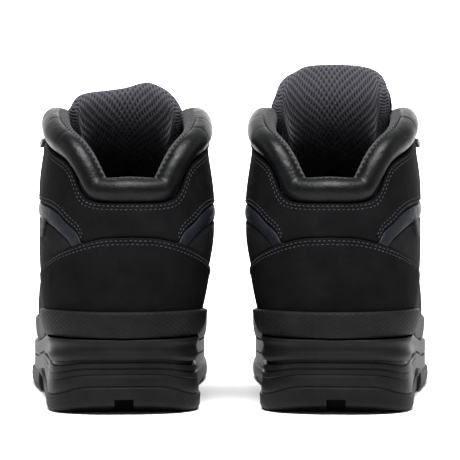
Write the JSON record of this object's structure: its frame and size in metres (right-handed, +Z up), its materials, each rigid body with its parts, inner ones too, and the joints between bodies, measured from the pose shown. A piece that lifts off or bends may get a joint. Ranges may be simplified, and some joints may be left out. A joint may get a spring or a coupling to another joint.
{
  "type": "steel toe work boots",
  "caption": "Pair of black leather steel toe work boots with a padded collar roll, tall mesh-lined tongue, lace hooks, rubber rand and block heel.",
  "frame": {"origin": "middle of the pair's box on the ground, between the two boots", "axes": "+Z up, +Y towards the toes, +X to the right boot's outer side"},
  "size_m": [0.252, 0.3076, 0.1978],
  "materials": {
    "rubber": "matte lugged rubber",
    "foam": "satin moulded polyurethane",
    "nubuck": "matte waterproof nubuck",
    "smooth_leather": "semi-gloss smooth leather",
    "accent": "satin smooth leather",
    "textile": "air-mesh lining",
    "board": "fibre board",
    "steel": "brushed",
    "stiffener": "matte thermoplastic",
    "hook": "gunmetal plated",
    "black_hook": "satin black",
    "lace": "braided polyester"
  },
  "bodies": {
    "left_boot": {"left_outsole": "rubber", "left_midsole": "foam", "left_rand": "rubber", "left_shank": "steel", "left_insole_board": "board", "left_footbed": "textile", "left_heel_cover": "nubuck", "left_ankle_wrap": "nubuck", "left_vamp": "nubuck", "left_toe_cover": "nubuck", "left_accent_outer": "accent", "left_accent_inner": "accent", "left_side_panel_outer": "nubuck", "left_side_panel_inner": "nubuck", "left_eyestay_outer": "nubuck", "left_eyestay_inner": "nubuck", "left_upper_hook_outer": "hook", "left_upper_hook_inner": "hook", "left_lock_hook_outer": "black_hook", "left_lock_hook_inner": "black_hook", "left_lace_end_outer": "lace", "left_lace_end_inner": "lace", "left_heel_counter": "stiffener", "left_steel_toe_cap": "steel", "left_shaft_lining": "textile", "left_vamp_lining": "textile", "left_collar_roll": "smooth_leather", "left_lace": "lace"},
    "left_tongue": {"left_tongue_face": "smooth_leather", "left_tongue_pad": "textile"},
    "right_boot": {"right_outsole": "rubber", "right_midsole": "foam", "right_rand": "rubber", "right_shank": "steel", "right_insole_board": "board", "right_footbed": "textile", "right_heel_cover": "nubuck", "right_ankle_wrap": "nubuck", "right_vamp": "nubuck", "right_toe_cover": "nubuck", "right_accent_outer": "accent", "right_accent_inner": "accent", "right_side_panel_outer": "nubuck", "right_side_panel_inner": "nubuck", "right_eyestay_outer": "nubuck", "right_eyestay_inner": "nubuck", "right_upper_hook_outer": "hook", "right_upper_hook_inner": "hook", "right_lock_hook_outer": "black_hook", "right_lock_hook_inner": "black_hook", "right_lace_end_outer": "lace", "right_lace_end_inner": "lace", "right_heel_counter": "stiffener", "right_steel_toe_cap": "steel", "right_shaft_lining": "textile", "right_vamp_lining": "textile", "right_collar_roll": "smooth_leather", "right_lace": "lace"},
    "right_tongue": {"right_tongue_face": "smooth_leather", "right_tongue_pad": "textile"}
  },
  "joints": [
    {"name": "right_boot_lift", "type": "slide", "parent": "left_boot", "child": "right_boot", "axis": [0, 0, 1], "range_m": [0, 0.25]},
    {"name": "left_tongue_hinge", "type": "hinge", "parent": "left_boot", "child": "left_tongue", "pos_m": [-0.0692, 0.056, 0.088], "axis": [0.9981, 0.061, 0], "range_deg": [0, 8]},
    {"name": "right_tongue_hinge", "type": "hinge", "parent": "right_boot", "child": "right_tongue", "pos_m": [0.0692, 0.056, 0.088], "axis": [0.9981, -0.061, 0], "range_deg": [0, 8]}
  ]
}
